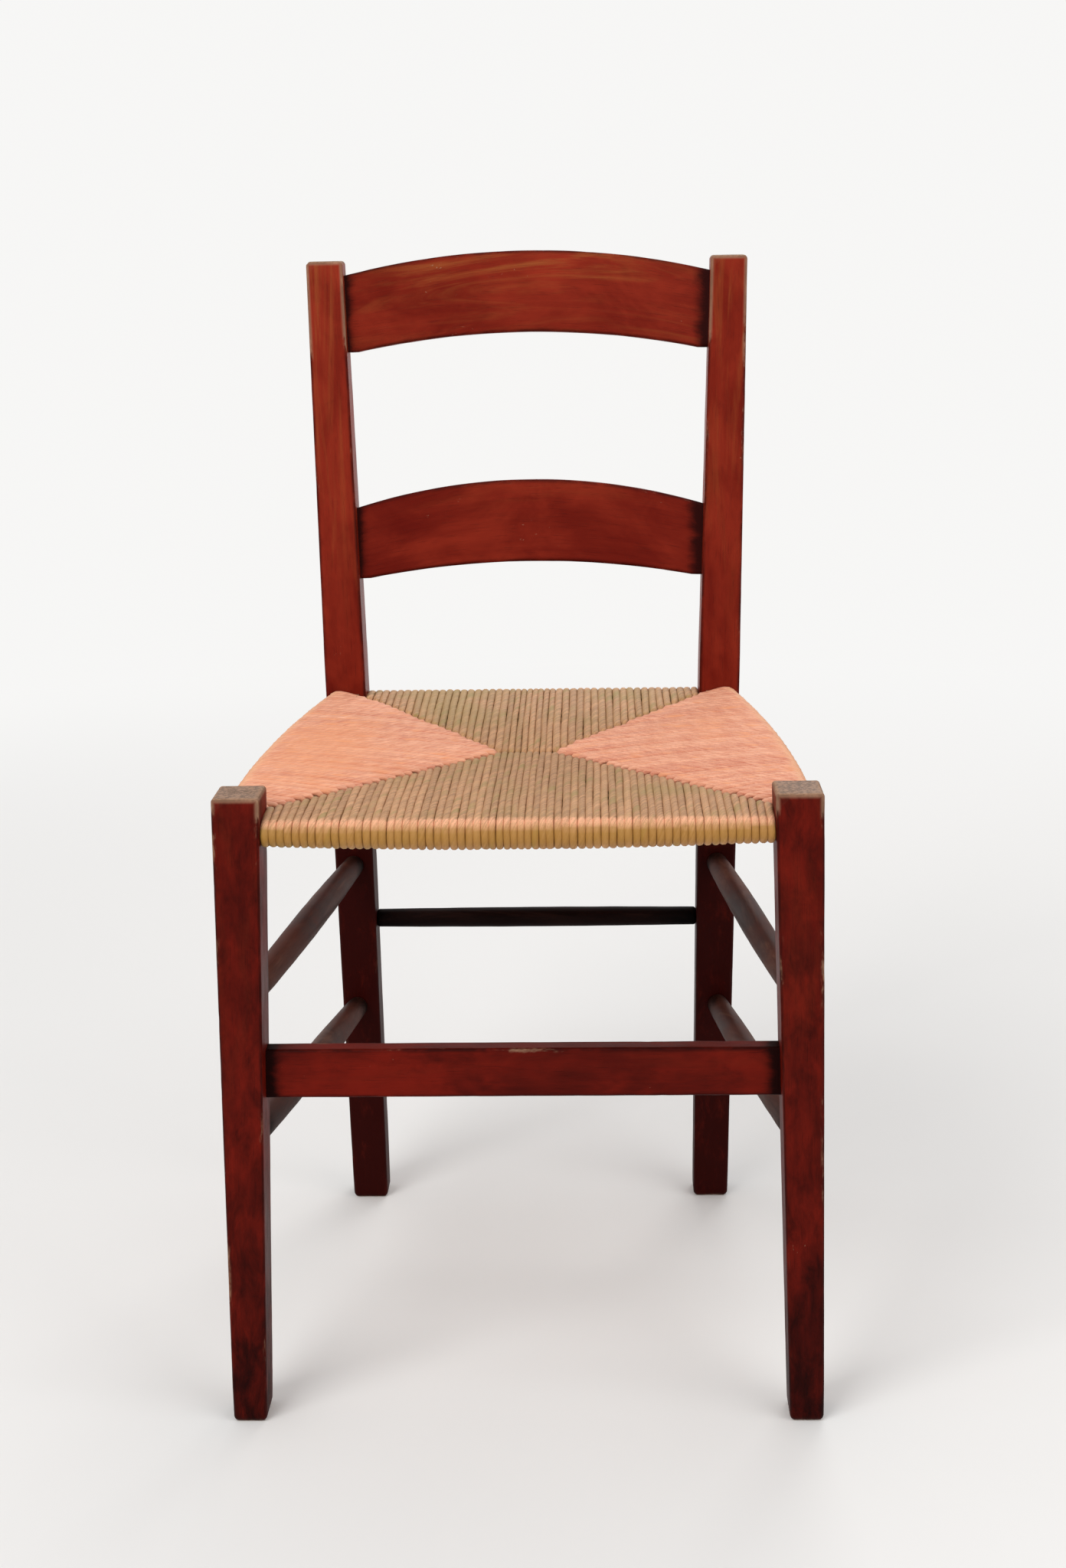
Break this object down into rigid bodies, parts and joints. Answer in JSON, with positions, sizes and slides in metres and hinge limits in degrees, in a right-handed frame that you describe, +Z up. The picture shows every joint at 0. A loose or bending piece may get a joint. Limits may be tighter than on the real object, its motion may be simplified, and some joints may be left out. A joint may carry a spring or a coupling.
{
  "type": "ladderback chair",
  "caption": "Ladderback dining chair: square tapered legs, raked back posts with arched slats, a board stretcher in front, turned stretchers at the sides and back, and a wound rush seat.",
  "frame": {"origin": "on the floor, under the middle of the chair's bounding box", "axes": "+Z up, -Y the way the chair faces, +X to the right as seen from the front"},
  "size_m": [0.428, 0.4576, 0.8367],
  "materials": {
    "stained_wood": "red-brown stained hardwood under a worn satin varnish",
    "turned_wood": "dark red-brown stained turned rods, satin",
    "bare_wood": "bare planed hardwood, hidden under the rush",
    "rush_green": "twisted rush cord, olive tan, slightly waxy",
    "rush_golden": "twisted rush cord, pinkish straw, slightly waxy",
    "stuffing": "loose rush offcuts packed between the two layers of the seat"
  },
  "bodies": {
    "root": {"front_leg_left": "stained_wood", "front_leg_right": "stained_wood", "back_post_left": "stained_wood", "back_post_right": "stained_wood", "top_slat": "stained_wood", "lower_slat": "stained_wood", "front_stretcher": "stained_wood", "back_stretcher": "turned_wood", "upper_side_stretcher_left": "turned_wood", "upper_side_stretcher_right": "turned_wood", "lower_side_stretcher_left": "turned_wood", "lower_side_stretcher_right": "turned_wood", "seat_rail_front": "bare_wood", "seat_rail_back": "bare_wood", "seat_rail_left": "bare_wood", "seat_rail_right": "bare_wood", "rush_panel_front": "rush_green", "rush_panel_back": "rush_green", "rush_panel_left": "rush_golden", "rush_panel_right": "rush_golden", "seat_stuffing": "stuffing"}
  },
  "joints": []
}
